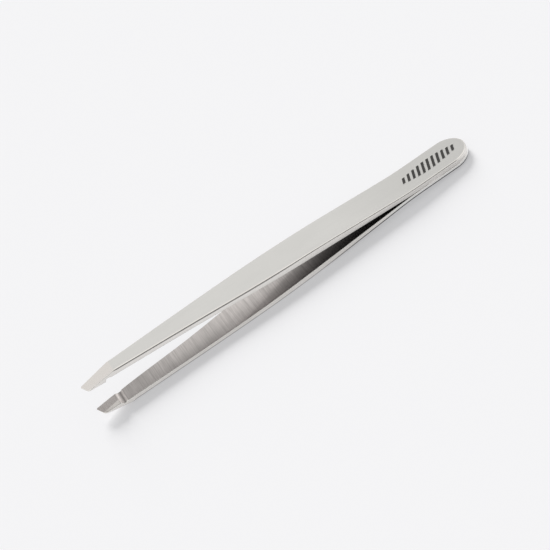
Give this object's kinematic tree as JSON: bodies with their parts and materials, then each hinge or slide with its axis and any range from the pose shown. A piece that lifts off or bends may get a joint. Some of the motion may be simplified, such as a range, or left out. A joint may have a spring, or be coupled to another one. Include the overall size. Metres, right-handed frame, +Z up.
{
  "type": "slant tweezers",
  "caption": "Slant-tip tweezers: mirror-image spring blades of brushed steel, spot-welded at a round tail, tapering to slant-cut gripping tips.",
  "frame": {"origin": "under the middle of the whole, on the table it lies on at rest", "axes": "+X from the tail towards the tips, +Y across the width, +Z up from the table; the plane between the blades is tipped 2.573 degrees, tips up, as the closed tail and the lower blade's belly touch the table"},
  "size_m": [0.095, 0.0092, 0.0097],
  "materials": {
    "blade_steel": "fine satin outside, brushed across the width inside, edges bright",
    "weld_metal": "fused, hidden between the tails",
    "mark_black": "matt black etch"
  },
  "bodies": {
    "tail": {"upper_blade_tail": "blade_steel", "lower_blade_tail": "blade_steel", "spot_welds": "weld_metal", "tail_mark": "mark_black"},
    "upper_arm": {"upper_blade_arm": "blade_steel"},
    "lower_arm": {"lower_blade_arm": "blade_steel"}
  },
  "joints": [
    {"name": "upper_flex", "type": "hinge", "parent": "tail", "child": "upper_arm", "pos_m": [-0.01959, 0, 0.00362], "axis": [0, 1, 0], "range_deg": [0, 2.85], "stiffness_Nm_per_rad": 0.34},
    {"name": "lower_flex", "type": "hinge", "parent": "tail", "child": "lower_arm", "pos_m": [-0.01947, 0, 0.00096], "axis": [0, -1, 0], "range_deg": [0, 2.85], "stiffness_Nm_per_rad": 0.34}
  ],
  "couplings": [
    {"joint": "lower_flex", "follows": "upper_flex", "ratio": 1}
  ]
}
